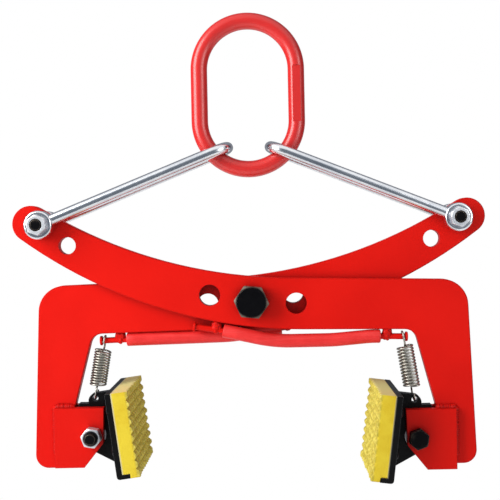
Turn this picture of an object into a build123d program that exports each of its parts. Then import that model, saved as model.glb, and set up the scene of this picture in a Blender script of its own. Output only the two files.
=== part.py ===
from build123d import *
import math
import os

# Scissor lifting clamp for kerbs and stone blocks, in millimetres.
# X runs to the right, Y away from the front and Z up. The origin is the hook seat of the master link.

# Master link, one round bar bent to an oblong ring
ring_wire = 16.5
ring_inner_width = 80.5
ring_inner_length = 131.5
ring_flat_depth = 1.0
ring_flat_length = 56.0

# Hairpin links, round bar with a forged eye on each leg
link_bar = 11.0
link_leg_spacing = 32.0
link_length = 198.5
link_lean = 21.8
link_seat_angle = 38.5
link_seat_gap = 0.6
link_eye_diameter = 28.0
link_eye_thickness = 13.0
link_eye_round = 2.5
link_leg_start = 9.0
link_side_play = 0.2

# Link bolts
link_bolt = 12.0
link_bolt_flats = 18.0
link_bolt_head = 7.5
link_nut = 6.0
link_bolt_stub = 0.5
link_spacer = 24.0

# Arm plates, measured from the pivot
plate = 10.0
plate_gap = 2.0
plate_edge = 0.7
arm_end_margin = 29.5
arm_end_radius = 18.0
eye_below_end = 1.3
bar_top = 23.4
bar_top_fall = 1.6
bar_bottom = 28.0
bar_bottom_fall = 1.0
upper_bow_radius = 478.2
upper_bow_start = 34.0
lower_bow_start = 50.0
leg_outer = 213.7
leg_splay = 2.15
leg_foot_width = 25.1
leg_inner_lean = 14.5
outer_corner_radius = 26.0
inner_corner_radius = 13.0
foot_outer_radius = 13.0
foot_inner_radius = 3.0
end_hole = 17.0
end_hole_in = 24.5
end_hole_below = 20.9
adjusting_hole = 20.8
adjusting_hole_pitch = 43.0
adjusting_hole_tilt = 6.4
adjusting_hole_shift = 1.3
adjusting_hole_lift = 1.9

# Pivot bolt
pivot_bolt_diameter = 20.0
pivot_bolt_flats = 30.0
pivot_bolt_head = 12.5
pivot_nut_height = 16.0
pivot_bolt_stub = 4.0
pivot_washer = 30.0
pivot_washer_thickness = 3.0
pivot_spacer_diameter = 44.0
pivot_play = 0.1

# Handles, a rod under each arm with a hose sleeve. The bow starts behind the pivot; its other points and
# the tip are measured in from the outer edge of the leg, heights from the lower edge of the arm.
rod = 6.0
rod_head = 9.5
rod_head_thickness = 2.5
rod_head_round = 0.8
rod_start = [(-58.5, 3.6), (-31.0, -0.6)]
front_bow = [(22.0, -12.6), (133.7, -12.2), (95.7, -9.2)]
rear_bow = [(22.0, -7.8), (133.7, -8.6), (95.7, -9.2)]
rod_tip = (60.0, -10.2)
rod_bends = [60.0, 150.0, 200.0, 120.0]
sleeve = 13.5
sleeve_gap = 0.5
sleeve_start = -29.0
sleeve_end_inset = 87.0
weld_inner_from = (-35.5, 3.0)
weld_outer_from = (80.5, -6.6)
weld_half_length = 5.2
weld_half_height = 7.0
weld_depth = 8.6

# Jaw brackets and jaw bolts, the bracket outline measured from the jaw bolt
jaw_inset = 53.2
jaw_drop = 136.5
left_jaw_lift = 5.3
jaw_tilt = 7.5
foot_below_jaw = 27.5
bracket_plate = 8.0
bracket_outline = [(-11.4, 28.0), (38.0, 28.0), (37.6, -31.0), (8.6, -31.0), (-10.4, -7.2)]
bracket_bead = 4.0
bead_top_start = 23.0
bead_side_end = -18.0
jaw_bolt = 12.0
jaw_bolt_flats = 18.0
jaw_bolt_head = 7.5
jaw_nut = 10.0
jaw_bolt_stub = 4.5
jaw_washer = 24.0
jaw_washer_thickness = 0.9

# Jaws, measured from the jaw bolt in the tilted jaw frame
gusset_eye_radius = 15.5
gusset_foot_rise = 1.7
gusset_tail = [(20.4, 7.7), (10.7, 32.7), (1.2, 31.4)]
lug_outer = 0.2
lug_below_top = 3.5
lug_round = 8.0
lug_hole = 6.0
lug_hole_at = (-6.2, 35.6)
backplate = 5.5
backplate_round = 3.0
lip = 4.4
lip_reach = 7.6

# Grip blocks
block_back = 30.2
block_body = 14.0
block_top = 44.2
tooth_pitch = 8.25
tooth_rows = 10
tooth_columns = 11
tooth_height = 3.0
tooth_tip = 2.2
block_screw = 6.0
block_screw_head = 10.0
block_screw_head_height = 4.0
block_screw_bite = 8.0
block_screw_rows = (26.0, -14.0)
block_screw_spread = 56.0

# Springs between the handle rods and the jaw lugs, alike but stretched to their own spans
spring_wire = 1.9
spring_coil = 15.2
spring_turns = 13
spring_rod_inset = 64.5
spring_shank = 10.1
spring_tail = 13.1
spring_hook_play = 0.9

# Clearances shared by bolts and their holes
bore_play = 0.2
hex_corner = 0.6
hex_crown = 0.475

# Places that follow from the sizes above
ring_radius = (ring_inner_width + ring_wire) / 2
ring_lower_z = -ring_inner_length - ring_wire / 2 + ring_radius
seat_radius = ring_radius - ring_wire / 2 - link_bar / 2 - link_seat_gap
crown_x = -seat_radius * math.sin(math.radians(link_seat_angle))
crown_z = ring_lower_z - seat_radius * math.cos(math.radians(link_seat_angle))
eye_out = link_length * math.cos(math.radians(link_lean)) - crown_x
eye_z = crown_z - link_length * math.sin(math.radians(link_lean))
arm_y = -(plate_gap + plate) / 2
rod_y = -(sleeve + sleeve_gap) / 2
sleeve_end = leg_outer - sleeve_end_inset
weld_inner_at = (weld_inner_from[0], weld_inner_from[1] - bar_bottom)
weld_outer_at = (leg_outer - weld_outer_from[0], weld_outer_from[1] - bar_bottom)
spring_rod_at = leg_outer - spring_rod_inset
jaw_out = leg_outer - jaw_inset
leg_drop = jaw_drop + foot_below_jaw
gusset = plate - 2 * jaw_washer_thickness - bore_play
block_height = tooth_rows * tooth_pitch
block_width = tooth_columns * tooth_pitch
block_foot = block_top - block_height
gusset_foot = block_foot + gusset_foot_rise
lug_top = block_top - lug_below_top
plate_back = -block_back + backplate

os.makedirs("parts", exist_ok=True)


def save(piece, name):
    piece.label = name
    export_step(piece, f"parts/{name}.step")


def turned(piece):
    return piece.rotate(Axis.Z, 180)


def left_jaw(piece):
    return Pos(0, 0, left_jaw_lift) * turned(piece)


def facing(x, y, z, toward=-1):
    return Plane(origin=(x, y, z), x_dir=(1, 0, 0), z_dir=(0, toward, 0))


def heading(angle):
    return Vector(math.cos(math.radians(angle)), math.sin(math.radians(angle)))


def angle_of(arrow):
    return math.degrees(math.atan2(arrow.Y, arrow.X))


def meet(p, p_angle, q, q_angle):
    d = heading(p_angle)
    e = heading(q_angle)
    span = q - p
    return p + d * ((span.X * e.Y - span.Y * e.X) / (d.X * e.Y - d.Y * e.X))


# Arm outline, whose end round touches both bowed edges, and the pivot height that follows from it
bow_top = Vector(upper_bow_start, bar_top - upper_bow_start * math.tan(math.radians(bar_top_fall)))
bow_low = Vector(lower_bow_start, -bar_bottom - lower_bow_start * math.tan(math.radians(bar_bottom_fall)))
upper_centre = bow_top + heading(90 - bar_top_fall) * upper_bow_radius
end_x = arm_end_radius - arm_end_margin - eye_out
end_reach = upper_bow_radius + arm_end_radius
end_centre = Vector(end_x, upper_centre.Y - math.sqrt(end_reach**2 - (upper_centre.X - end_x) ** 2))
low_normal = heading(90 - bar_bottom_fall)
low_span = bow_low - end_centre
lower_bow_radius = (arm_end_radius**2 - low_span.dot(low_span)) / (
    2 * (low_span.dot(low_normal) + arm_end_radius)
)
lower_centre = bow_low + low_normal * lower_bow_radius
foot_outer = Vector(leg_outer + leg_drop * math.tan(math.radians(leg_splay)), -leg_drop)
foot_inner = foot_outer - Vector(leg_foot_width, 0)
outer_corner = meet(foot_outer, 90 + leg_splay, bow_top, -bar_top_fall)
inner_corner = meet(foot_inner, 90 + leg_inner_lean, bow_low, -bar_bottom_fall)
adjusting_step = heading(-adjusting_hole_tilt) * adjusting_hole_pitch
adjusting_middle = Vector(adjusting_hole_shift, adjusting_hole_lift)
eye_up = end_centre.Y - eye_below_end
pivot_z = eye_z - eye_up
upper_angle = angle_of(end_centre - upper_centre)
lower_angle = angle_of(end_centre - lower_centre)


# Bolts, nuts and rings lie along the normal of their plane, which points towards the head.
def hex_bolt(plane, shank, flats, head, seat, tip, turn):
    side = Plane(origin=plane.origin, x_dir=plane.x_dir, z_dir=-plane.y_dir)
    crown_rise = (hex_corner - hex_crown) * flats * math.tan(math.radians(30))
    with BuildPart() as bolt:
        with BuildSketch(plane.offset(seat)):
            RegularPolygon(flats / 2, 6, major_radius=False, rotation=turn)
        extrude(amount=head)
        with BuildSketch(side):
            with BuildLine():
                Polyline(
                    (0, seat),
                    (hex_corner * flats, seat),
                    (hex_corner * flats, seat + head - crown_rise),
                    (hex_crown * flats, seat + head),
                    (0, seat + head),
                    close=True,
                )
            make_face()
        revolve(axis=Axis(plane.origin, plane.z_dir), mode=Mode.INTERSECT)
        with BuildSketch(plane.offset(-tip)):
            Circle(shank / 2)
        extrude(amount=tip + seat)
        tip_edge = bolt.edges().filter_by(GeomType.CIRCLE).sort_by(Axis(plane.origin, plane.z_dir))[0]
        chamfer(tip_edge, shank / 12)
    return bolt.part


def hex_nut(plane, bore, flats, height, seat, turn):
    side = Plane(origin=plane.origin, x_dir=plane.x_dir, z_dir=-plane.y_dir)
    crown_rise = (hex_corner - hex_crown) * flats * math.tan(math.radians(30))
    with BuildPart() as nut:
        with BuildSketch(plane.offset(-seat - height)):
            RegularPolygon(flats / 2, 6, major_radius=False, rotation=turn)
        extrude(amount=height)
        with BuildSketch(side):
            with BuildLine():
                Polyline(
                    (bore / 2, -seat),
                    (hex_crown * flats, -seat),
                    (hex_corner * flats, -seat - crown_rise),
                    (hex_corner * flats, -seat - height + crown_rise),
                    (hex_crown * flats, -seat - height),
                    (bore / 2, -seat - height),
                    close=True,
                )
            make_face()
        revolve(axis=Axis(plane.origin, plane.z_dir), mode=Mode.INTERSECT)
    return nut.part


def rings(plane, starts, height, outer, bore):
    with BuildPart() as ring:
        for start in starts:
            with BuildSketch(plane.offset(start)):
                Circle(outer / 2)
                Circle(bore / 2, mode=Mode.SUBTRACT)
            extrude(amount=height)
    return ring.part


# Master link, with a shallow flat on the front of its right straight leg
with BuildPart() as master_link:
    with BuildLine(Plane.XZ) as ring_path:
        ring_top = CenterArc((0, ring_wire / 2 - ring_radius), ring_radius, 0, 180)
        ring_low = CenterArc((0, ring_lower_z), ring_radius, 180, 180)
        Line(ring_top @ 1, ring_low @ 0)
        Line(ring_low @ 1, ring_top @ 0)
    with BuildSketch(Plane(origin=ring_path.line @ 0, z_dir=ring_path.line % 0)):
        Circle(ring_wire / 2)
    sweep(path=ring_path.line)
    with Locations((ring_radius, -ring_wire, (ring_wire / 2 - ring_radius + ring_lower_z) / 2)):
        Box(ring_wire, ring_wire + 2 * ring_flat_depth, ring_flat_length, mode=Mode.SUBTRACT)
save(master_link.part, "master_link")


# Hairpin links, the left one drawn and the right one turned half round
left_eye = Vector(-eye_out, arm_y, eye_z)
link_along = (Vector(crown_x, 0, crown_z) - left_eye).normalized()
link_across = (Vector(0, 1, 0) - link_along * link_along.Y).normalized()
link_plane = Plane(origin=left_eye, x_dir=link_along, z_dir=link_along.cross(link_across))
link_reach = (Vector(crown_x, 0, crown_z) - left_eye).length
leg_offset = link_leg_spacing / 2
with BuildPart() as left_link:
    for eye_y in (arm_y - leg_offset, arm_y + leg_offset):
        with BuildSketch(facing(left_eye.X, eye_y, left_eye.Z)):
            Circle(link_eye_diameter / 2)
        extrude(amount=link_eye_thickness / 2, both=True)
    fillet(left_link.edges().filter_by(GeomType.CIRCLE), link_eye_round)
    with BuildLine(link_plane) as link_path:
        link_crown = CenterArc((link_reach - leg_offset, 0), leg_offset, -90, 180)
        Line((link_leg_start, -leg_offset), link_crown @ 0)
        Line(link_crown @ 1, (link_leg_start, leg_offset))
    link_start = link_plane.from_local_coords(Vector(link_leg_start, -leg_offset, 0))
    with BuildSketch(Plane(origin=link_start, z_dir=link_along)):
        Circle(link_bar / 2)
    sweep(path=link_path.line)
    with BuildSketch(facing(left_eye.X, arm_y, left_eye.Z)):
        Circle((link_bolt + bore_play) / 2)
    extrude(amount=link_leg_spacing, both=True, mode=Mode.SUBTRACT)
save(left_link.part, "left_link")
save(turned(left_link.part), "right_link")


# Link bolts from behind with their nuts in front, and the spacer rings between eyes and plate
eye_outside = leg_offset + link_eye_thickness / 2 + link_side_play
eye_inside = leg_offset - link_eye_thickness / 2 - link_side_play
for side, sign in (("left", -1), ("right", 1)):
    eye_plane = facing(sign * eye_out, -sign * arm_y, eye_z, toward=1)
    bolt_tip = eye_outside + link_nut + link_bolt_stub
    bolt = hex_bolt(eye_plane, link_bolt, link_bolt_flats, link_bolt_head, eye_outside, bolt_tip, 12)
    nut = hex_nut(eye_plane, link_bolt + bore_play, link_bolt_flats, link_nut, eye_outside, 20)
    spacers = rings(
        eye_plane, (-eye_inside, plate / 2), eye_inside - plate / 2, link_spacer, link_bolt + bore_play
    )
    save(bolt, f"{side}_link_bolt")
    save(nut, f"{side}_link_nut")
    save(spacers, f"{side}_link_spacers")


# Arm plates, the front one drawn and the rear one turned half round
arm_plane = facing(0, arm_y, pivot_z)
with BuildPart() as front_arm:
    with BuildSketch(arm_plane) as arm_outline:
        with BuildLine():
            upper_bow = CenterArc(
                upper_centre, upper_bow_radius, -90 - bar_top_fall, upper_angle + 90 + bar_top_fall
            )
            CenterArc(
                end_centre, arm_end_radius, upper_angle + 180, (lower_angle - upper_angle - 180) % 360
            )
            lower_bow = CenterArc(
                lower_centre, lower_bow_radius, lower_angle, -90 - bar_bottom_fall - lower_angle
            )
            Polyline(lower_bow @ 1, inner_corner, foot_inner, foot_outer, outer_corner, upper_bow @ 0)
        make_face()
        fillet(arm_outline.vertices().sort_by_distance(outer_corner)[0], outer_corner_radius)
        fillet(arm_outline.vertices().sort_by_distance(inner_corner)[0], inner_corner_radius)
        fillet(arm_outline.vertices().sort_by_distance(foot_outer)[0], foot_outer_radius)
        fillet(arm_outline.vertices().sort_by_distance(foot_inner)[0], foot_inner_radius)
    extrude(amount=plate / 2, both=True)
    arm_faces = front_arm.faces().filter_by(Axis.Y).sort_by(Axis.Y)
    chamfer(arm_faces[0].edges() + arm_faces[-1].edges(), plate_edge)
    with BuildSketch(arm_plane):
        Circle((pivot_bolt_diameter + bore_play) / 2)
        with Locations((-eye_out, eye_up)):
            Circle((link_bolt + bore_play) / 2)
        with Locations((end_hole_in - eye_out, eye_up - end_hole_below)):
            Circle(end_hole / 2)
        with Locations(adjusting_middle - adjusting_step, adjusting_middle + adjusting_step):
            Circle(adjusting_hole / 2)
    extrude(amount=plate, both=True, mode=Mode.SUBTRACT)
save(front_arm.part, "front_arm")
save(turned(front_arm.part), "rear_arm")


# Pivot bolt with head and washer in front, nut and washer behind, and the spacer between the plates
pivot_plane = facing(0, 0, pivot_z)
stack = plate_gap / 2 + plate
front_seat = stack + pivot_washer_thickness
rear_seat = stack + pivot_play + pivot_washer_thickness
pivot_tip = rear_seat + pivot_nut_height + pivot_bolt_stub
pivot_bore = pivot_bolt_diameter + bore_play
save(
    hex_bolt(
        pivot_plane, pivot_bolt_diameter, pivot_bolt_flats, pivot_bolt_head, front_seat, pivot_tip, -6
    ),
    "pivot_bolt",
)
save(hex_nut(pivot_plane, pivot_bore, pivot_bolt_flats, pivot_nut_height, rear_seat, 15), "pivot_nut")
save(
    rings(pivot_plane, (stack, -rear_seat), pivot_washer_thickness, pivot_washer, pivot_bore),
    "pivot_washers",
)
save(
    rings(
        pivot_plane, (pivot_play - plate_gap / 2,), plate_gap - pivot_play, pivot_spacer_diameter, pivot_bore
    ),
    "pivot_spacer",
)


# Handles, the front one bowed and the rear one straighter and turned half round
rod_plane = facing(0, rod_y, pivot_z)


def rod_route(bow):
    inner = [*rod_start, bow[0]]
    outer = [*bow[1:], rod_tip]
    return [(x, z - bar_bottom) for x, z in inner] + [(leg_outer - x, z - bar_bottom) for x, z in outer]


def on_rod(route, first, x):
    start = Vector(route[first])
    span = Vector(route[first + 1]) - start
    return start + span * ((x - start.X) / span.X)


routes = {"front": rod_route(front_bow), "rear": rod_route(rear_bow)}
for name, route in routes.items():
    with BuildPart() as handle_rod:
        with BuildLine(rod_plane) as rod_path:
            FilletPolyline(route, radius=rod_bends)
        with BuildSketch(Plane(origin=rod_path.line @ 0, z_dir=rod_path.line % 0)):
            Circle(rod / 2)
        sweep(path=rod_path.line)
        rod_ends = ((rod_path.line @ 0, rod_path.line % 0), (rod_path.line @ 1, -(rod_path.line % 1)))
        for end, inward in rod_ends:
            with BuildSketch(Plane(origin=end, z_dir=inward)):
                Circle(rod_head / 2)
            extrude(amount=rod_head_thickness)
        head_edges = handle_rod.edges().filter_by(GeomType.CIRCLE).filter_by(lambda e: e.radius > 0.6 * rod)
        fillet(head_edges, rod_head_round)

    sleeve_first = on_rod(route, 1, sleeve_start)
    sleeve_last = on_rod(route, 4, sleeve_end)
    sleeve_points = [(sleeve_first.X, sleeve_first.Y), *route[2:5], (sleeve_last.X, sleeve_last.Y)]
    with BuildPart() as handle_sleeve:
        with BuildLine(rod_plane) as sleeve_path:
            FilletPolyline(sleeve_points, radius=rod_bends[1:])
        with BuildSketch(Plane(origin=sleeve_path.line @ 0, z_dir=sleeve_path.line % 0)):
            Circle(sleeve / 2)
            Circle((rod + bore_play) / 2, mode=Mode.SUBTRACT)
        sweep(path=sleeve_path.line)

    with BuildPart() as handle_welds:
        for weld_at in (weld_inner_at, weld_outer_at):
            with BuildSketch(rod_plane):
                with Locations(weld_at):
                    Ellipse(weld_half_length, weld_half_height)
            extrude(amount=weld_depth / 2, both=True)
        add(front_arm.part, mode=Mode.SUBTRACT)
        add(handle_rod.part, mode=Mode.SUBTRACT)

    for kind, piece in (("rod", handle_rod), ("sleeve", handle_sleeve), ("welds", handle_welds)):
        save(piece.part if name == "front" else turned(piece.part), f"{name}_handle_{kind}")


# Jaw brackets, one plate welded to each side of the foot, with a bead along its top and outer edge
top_outer = Vector(bracket_outline[1])
side_slope = Vector(bracket_outline[2]) - top_outer
bead_foot = top_outer + side_slope * ((bead_side_end - top_outer.Y) / side_slope.Y)
jaw_heights = {"right": pivot_z - jaw_drop, "left": pivot_z - jaw_drop + left_jaw_lift}
for side, jaw_z in jaw_heights.items():
    bracket_pieces = {}
    for place, way in (("outer", 1), ("inner", -1)):
        with BuildPart() as bracket:
            with BuildSketch(facing(jaw_out, arm_y - way * plate / 2, jaw_z)):
                with BuildLine():
                    Polyline(bracket_outline, close=True)
                make_face()
                Circle((jaw_bolt + bore_play) / 2, mode=Mode.SUBTRACT)
            extrude(amount=way * bracket_plate)
        bracket_pieces[f"bracket_{place}"] = bracket.part

    with BuildPart() as bracket_welds:
        for way in (1, -1):
            bead_plane = facing(jaw_out, arm_y - way * plate / 2, jaw_z)
            bead_corner = bead_plane.from_local_coords(top_outer)
            for bead_end in (Vector(bead_top_start, top_outer.Y), bead_foot):
                bead_stop = bead_plane.from_local_coords(bead_end)
                with BuildSketch(Plane(origin=bead_corner, z_dir=bead_stop - bead_corner)):
                    Circle(bracket_bead)
                extrude(amount=(bead_stop - bead_corner).length)
            with Locations(bead_corner):
                Sphere(bracket_bead)
        add(front_arm.part, mode=Mode.SUBTRACT)
        for plate_piece in bracket_pieces.values():
            add(plate_piece, mode=Mode.SUBTRACT)
    bracket_pieces["bracket_welds"] = bracket_welds.part

    for name, piece in bracket_pieces.items():
        save(piece if side == "right" else turned(piece), f"{side}_{name}")


# Jaw bolts, head in front on the right and behind on the left, with thrust washers beside the gusset
bracket_outside = plate / 2 + bracket_plate
for side, sign, toward in (("left", -1, 1), ("right", 1, -1)):
    bolt_plane = facing(sign * jaw_out, sign * arm_y, jaw_heights[side], toward)
    bolt_tip = bracket_outside + jaw_nut + jaw_bolt_stub
    bolt = hex_bolt(bolt_plane, jaw_bolt, jaw_bolt_flats, jaw_bolt_head, bracket_outside, bolt_tip, 20)
    nut = hex_nut(bolt_plane, jaw_bolt + bore_play, jaw_bolt_flats, jaw_nut, bracket_outside, 10)
    washers = rings(
        bolt_plane,
        (-plate / 2, plate / 2 - jaw_washer_thickness),
        jaw_washer_thickness,
        jaw_washer,
        jaw_bolt + bore_play,
    )
    save(bolt, f"{side}_jaw_bolt")
    save(nut, f"{side}_jaw_nut")
    save(washers, f"{side}_jaw_washers")


# Jaw gussets: eye on the jaw bolt, lug for the spring and a tail inside the foot of the arm
tilt = math.radians(jaw_tilt)
jaw_plane = Plane(
    origin=(jaw_out, arm_y, pivot_z - jaw_drop), x_dir=(math.cos(tilt), 0, -math.sin(tilt)), z_dir=(0, -1, 0)
)
gusset_toe = Vector(plate_back, gusset_foot)
toe_turn = math.degrees(math.asin(gusset_eye_radius / gusset_toe.length))
eye_touch = gusset_toe + heading(angle_of(-gusset_toe) - toe_turn) * math.sqrt(
    gusset_toe.length**2 - gusset_eye_radius**2
)
tail_foot = Vector(gusset_tail[0])
tail_turn = math.degrees(math.acos(gusset_eye_radius / tail_foot.length))
tail_touch = heading(angle_of(tail_foot) - tail_turn) * gusset_eye_radius
with BuildPart() as jaw_gusset:
    with BuildSketch(jaw_plane) as gusset_outline:
        with BuildLine():
            eye_round = CenterArc(
                (0, 0), gusset_eye_radius, angle_of(eye_touch), angle_of(tail_touch) - angle_of(eye_touch)
            )
            Polyline(
                eye_round @ 1,
                *gusset_tail,
                (lug_outer, lug_top),
                (plate_back, lug_top),
                gusset_toe,
                eye_round @ 0,
            )
        make_face()
        fillet(gusset_outline.vertices().sort_by_distance((lug_outer, lug_top))[0], lug_round)
        Circle((jaw_bolt + bore_play) / 2, mode=Mode.SUBTRACT)
        with Locations(lug_hole_at):
            Circle(lug_hole / 2, mode=Mode.SUBTRACT)
    extrude(amount=gusset / 2, both=True)
save(jaw_gusset.part, "right_jaw_gusset")
save(left_jaw(jaw_gusset.part), "left_jaw_gusset")


# Jaw backplates with the lip under the grip block, and the screws that hold the block
screw_middle = (block_screw_rows[0] + block_screw_rows[1]) / 2
screw_gap = block_screw_rows[0] - block_screw_rows[1]
back_plane = Plane(
    origin=jaw_plane.from_local_coords(Vector(-block_back, screw_middle, 0)),
    x_dir=jaw_plane.y_dir,
    z_dir=jaw_plane.x_dir,
)
with BuildPart() as jaw_backplate:
    with BuildSketch(jaw_plane) as backplate_outline:
        with BuildLine():
            Polyline(
                (-block_back, block_top),
                (plate_back, block_top),
                (plate_back, block_foot),
                (-block_back - lip_reach, block_foot),
                (-block_back - lip_reach, block_foot + lip),
                (-block_back, block_foot + lip),
                close=True,
            )
        make_face()
        fillet(backplate_outline.vertices().sort_by_distance((plate_back, block_foot))[0], backplate_round)
    extrude(amount=block_width / 2, both=True)
    with BuildSketch(back_plane):
        with GridLocations(screw_gap, block_screw_spread, 2, 2):
            Circle((block_screw + bore_play) / 2)
    extrude(amount=backplate, mode=Mode.SUBTRACT)
save(jaw_backplate.part, "right_jaw_backplate")
save(left_jaw(jaw_backplate.part), "left_jaw_backplate")

with BuildPart() as block_screws:
    with BuildSketch(back_plane.offset(-block_screw_bite)):
        with GridLocations(screw_gap, block_screw_spread, 2, 2):
            Circle(block_screw / 2)
    extrude(amount=block_screw_bite + backplate)
    with BuildSketch(back_plane.offset(backplate)):
        with GridLocations(screw_gap, block_screw_spread, 2, 2):
            Circle(block_screw_head / 2)
    extrude(amount=block_screw_head_height)
    head_rims = block_screws.edges().filter_by(GeomType.CIRCLE).group_by(Axis((0, 0, 0), jaw_plane.x_dir))[-1]
    fillet(head_rims, block_screw_head_height / 2.5)
save(block_screws.part, "right_block_screws")
save(left_jaw(block_screws.part), "left_block_screws")


# Grip blocks with rows and columns of blunt pyramid teeth, stepped to sit on the lip
body_face = -block_back - block_body
tooth_face = body_face - tooth_height
slope_run = (tooth_pitch - tooth_tip) / 2
tooth_line = []
for row in range(tooth_rows):
    tooth_top = block_top - row * tooth_pitch
    tooth_line += [(tooth_face, tooth_top - slope_run), (tooth_face, tooth_top - slope_run - tooth_tip)]
    tooth_line += [(body_face, tooth_top - tooth_pitch)]
column_plane = Plane(
    origin=jaw_plane.from_local_coords(Vector(tooth_face, block_top, 0)),
    x_dir=(0, 1, 0),
    z_dir=jaw_plane.y_dir,
)
face_side = 1 if column_plane.y_dir.dot(jaw_plane.x_dir) > 0 else -1
with BuildPart() as grip_block:
    with BuildSketch(jaw_plane):
        with BuildLine():
            Polyline(
                (-block_back, block_top),
                (body_face, block_top),
                *tooth_line,
                (-block_back - lip_reach, block_foot),
                (-block_back - lip_reach, block_foot + lip),
                (-block_back, block_foot + lip),
                close=True,
            )
        make_face()
    extrude(amount=block_width / 2, both=True)
    with BuildSketch(column_plane):
        with GridLocations(tooth_pitch, 0, tooth_columns + 1, 1):
            Polygon((-slope_run, 0), (0, face_side * tooth_height), (slope_run, 0), align=None)
    extrude(amount=-block_height, mode=Mode.SUBTRACT)
    with BuildSketch(back_plane):
        with GridLocations(screw_gap, block_screw_spread, 2, 2):
            Circle((block_screw + bore_play) / 2)
    extrude(amount=-block_screw_bite - bore_play, mode=Mode.SUBTRACT)
save(grip_block.part, "right_grip_block")
save(left_jaw(grip_block.part), "left_grip_block")


# Springs: hook over the rod, close coil of half-turn arcs, hook through the lug. The left lug sits higher.
coil = spring_coil / 2
top_hook = rod / 2 + spring_wire / 2 + spring_hook_play
low_hook = gusset / 2 + spring_wire / 2 + spring_hook_play
diagonal = math.sqrt(0.5)
for side, route, lift in (("right", routes["front"], 0), ("left", routes["rear"], left_jaw_lift)):
    rod_anchor = rod_plane.from_local_coords(on_rod(route, 4, spring_rod_at))
    lug_centre = jaw_plane.from_local_coords(Vector(lug_hole_at[0], lug_hole_at[1], 0)) + Vector(0, 0, lift)
    spring_y = (rod_anchor.Y + lug_centre.Y) / 2
    rod_end = Vector(rod_anchor.X, spring_y, rod_anchor.Z)
    lug_end = Vector(lug_centre.X, spring_y, lug_centre.Z)
    spring_up = (rod_end - lug_end).normalized()
    spring_plane = Plane(origin=rod_end, x_dir=spring_up.cross(Vector(0, 1, 0)) * -1, z_dir=spring_up)
    lug_side = gusset / 2 + abs(lug_centre.Y - spring_y)
    hook_sag = (low_hook + math.sqrt(low_hook**2 - lug_side**2)) / 2
    spring_span = (rod_end - lug_end).length
    coil_top = -spring_shank
    coil_low = spring_tail - spring_span
    spring_pitch = (coil_top - coil_low) / spring_turns
    low_centre = hook_sag - spring_span
    with BuildPart() as spring:
        with BuildLine(spring_plane) as spring_path:
            Line((0, top_hook, -spring_wire), (0, top_hook, 0))
            ThreePointArc((0, top_hook, 0), (0, 0, top_hook), (0, -top_hook, 0))
            Line((0, -top_hook, 0), (0, -top_hook, coil_top + top_hook))
            ThreePointArc(
                (0, -top_hook, coil_top + top_hook),
                (0, -top_hook * diagonal, coil_top + top_hook * (1 - diagonal)),
                (0, 0, coil_top),
            )
            ThreePointArc((0, 0, coil_top), (coil / 2, coil / 2, coil_top), (coil, 0, coil_top))
            for turn in range(spring_turns):
                turn_z = coil_top - turn * spring_pitch
                ThreePointArc(
                    (coil, 0, turn_z),
                    (0, -coil, turn_z - spring_pitch / 4),
                    (-coil, 0, turn_z - spring_pitch / 2),
                )
                ThreePointArc(
                    (-coil, 0, turn_z - spring_pitch / 2),
                    (0, coil, turn_z - spring_pitch * 3 / 4),
                    (coil, 0, turn_z - spring_pitch),
                )
            ThreePointArc((coil, 0, coil_low), (coil / 2, -coil / 2, coil_low), (0, 0, coil_low))
            ThreePointArc(
                (0, 0, coil_low),
                (0, low_hook * diagonal, coil_low - low_hook * (1 - diagonal)),
                (0, low_hook, coil_low - low_hook),
            )
            Line((0, low_hook, coil_low - low_hook), (0, low_hook, low_centre))
            ThreePointArc(
                (0, low_hook, low_centre),
                (0, 0, low_centre - low_hook),
                (0, -low_hook, low_centre),
            )
            Line((0, -low_hook, low_centre), (0, -low_hook, low_centre + spring_wire))
        with BuildSketch(Plane(origin=spring_path.line @ 0, z_dir=spring_path.line % 0)):
            Circle(spring_wire / 2)
        sweep(path=spring_path.line)
    save(spring.part if side == "right" else turned(spring.part), f"{side}_spring")

    spring_length = sum(edge.length for edge in spring_path.line.edges())
    samples = [spring_path.line @ (i / 1500) for i in range(1501)]
    apart = int(1500 * 2 * coil / spring_length)
    least = min((samples[i] - samples[j]).length for i in range(1501) for j in range(i + apart, 1501))
    section = math.pi * spring_wire**2 / 4
    print(side, "spring self-gap", round(least - spring_wire, 3), "pitch", round(spring_pitch, 4))
    print("volume over section times length", round(spring.part.volume / (section * spring_length), 4))
    print("rod anchor", rod_anchor, "lug", lug_centre)
print("pivot", round(pivot_z, 3), "eye", round(eye_out, 3), round(eye_z, 3), "up", round(eye_up, 3))
print("crown", round(crown_x, 3), round(crown_z, 3), "jaw bolt", jaw_out, jaw_heights)
print("end hole", round(end_hole_in - eye_out, 3), round(pivot_z + eye_up - end_hole_below, 3))
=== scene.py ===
import math
import random

import bmesh
import bpy
from mathutils import Matrix, Vector, noise


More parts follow.
